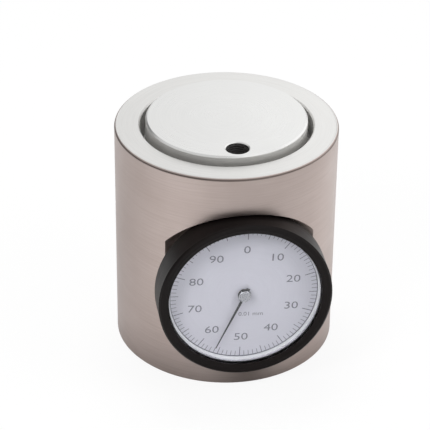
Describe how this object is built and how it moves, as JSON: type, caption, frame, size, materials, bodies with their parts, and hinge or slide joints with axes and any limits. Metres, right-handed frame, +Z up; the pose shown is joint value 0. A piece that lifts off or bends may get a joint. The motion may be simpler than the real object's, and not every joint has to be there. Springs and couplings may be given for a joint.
{
  "type": "dial height gauge",
  "caption": "Round steel drum gauge on a flat base with a sprung measuring plate on top and a dial indicator let into its side; pressing the plate turns the pointer.",
  "frame": {"origin": "middle of the flat base, on the axis of the drum", "axes": "+Z up along the drum's axis, dial facing -Y, +X to the right of a person facing the dial"},
  "size_m": [0.046, 0.0492, 0.0504],
  "materials": {
    "drum_steel": "satin ground steel",
    "plate_steel": "finely ground steel",
    "hardened_steel": "fine turned",
    "dark_steel": "blackened",
    "spring_steel": "polished wire",
    "blued_steel": "blued strip",
    "bronze": "turned bronze",
    "brass": "brushed brass",
    "case_steel": "turned",
    "bezel_black": "black, semi-gloss",
    "crystal": "clear",
    "dial_white": "matt white enamel",
    "pointer_dark": "dark, matt",
    "hub_grey": "turned",
    "ring_bright": "bright, finely turned"
  },
  "bodies": {
    "drum": {"housing": "drum_steel", "guide_bush": "bronze", "bush_lock_screw": "dark_steel", "return_spring": "spring_steel", "key_pin": "hardened_steel", "gauge_case": "case_steel", "case_screws": "dark_steel", "spindle_upper_bush": "bronze", "spindle_lower_bush": "bronze", "spindle_guide_fork": "brass", "spring_anchor_pin": "hardened_steel", "draw_spring": "spring_steel", "movement_rear_plate": "brass", "movement_front_plate": "brass", "plate_pillars": "brass", "plate_screws": "dark_steel", "rear_pivot_bush": "bronze", "hairspring": "blued_steel", "hairspring_stud": "brass", "bezel_snap_ring": "spring_steel"},
    "measuring_plate_unit": {"measuring_plate": "plate_steel", "adjusting_screw": "dark_steel", "plate_clip": "spring_steel"},
    "spindle_unit": {"rack_spindle": "hardened_steel", "contact_tip": "hardened_steel", "spindle_guide_pin": "hardened_steel"},
    "rack_wheel_unit": {"rack_pinion": "hardened_steel", "rack_wheel": "brass"},
    "pointer_unit": {"centre_pinion": "hardened_steel", "pointer": "pointer_dark", "pointer_hub": "hub_grey"},
    "take_up_unit": {"take_up_arbor": "hardened_steel", "take_up_wheel": "brass"},
    "bezel_unit": {"bezel": "bezel_black", "crystal": "crystal", "dial_spacer": "ring_bright", "dial": "dial_white", "dial_retainer": "dark_steel"}
  },
  "joints": [
    {"name": "plate_slide", "type": "slide", "parent": "drum", "child": "measuring_plate_unit", "axis": [0, 0, 1], "range_m": [-0.002, 0], "stiffness_N_per_m": 1500, "springref_m": 0.0033, "deforming": ["return_spring"]},
    {"name": "spindle_slide", "type": "slide", "parent": "drum", "child": "spindle_unit", "axis": [0, 0, 1], "range_m": [-0.00201, 0], "deforming": ["draw_spring"]},
    {"name": "rack_arbor_turn", "type": "hinge", "parent": "drum", "child": "rack_wheel_unit", "pos_m": [0.00139, 0, 0.01508], "axis": [0, 1, 0], "range_deg": [-144.5, 0]},
    {"name": "pointer_turn", "type": "hinge", "parent": "drum", "child": "pointer_unit", "pos_m": [0, 0, 0.02245], "axis": [0, 1, 0], "range_deg": [0, 720.5]},
    {"name": "take_up_turn", "type": "hinge", "parent": "drum", "child": "take_up_unit", "pos_m": [-0.00139, 0, 0.02982], "axis": [0, 1, 0], "range_deg": [-144.5, 0], "deforming": ["hairspring"]},
    {"name": "bezel_turn", "type": "hinge", "parent": "drum", "child": "bezel_unit", "pos_m": [0, 0, 0.02245], "axis": [0, 1, 0], "continuous": true}
  ],
  "couplings": [
    {"joint": "spindle_slide", "follows": "plate_slide", "ratio": 1},
    {"joint": "rack_arbor_turn", "follows": "plate_slide", "rad_per_m": 1256.6},
    {"joint": "pointer_turn", "follows": "plate_slide", "rad_per_m": -6283.2},
    {"joint": "take_up_turn", "follows": "plate_slide", "rad_per_m": 1256.6}
  ]
}
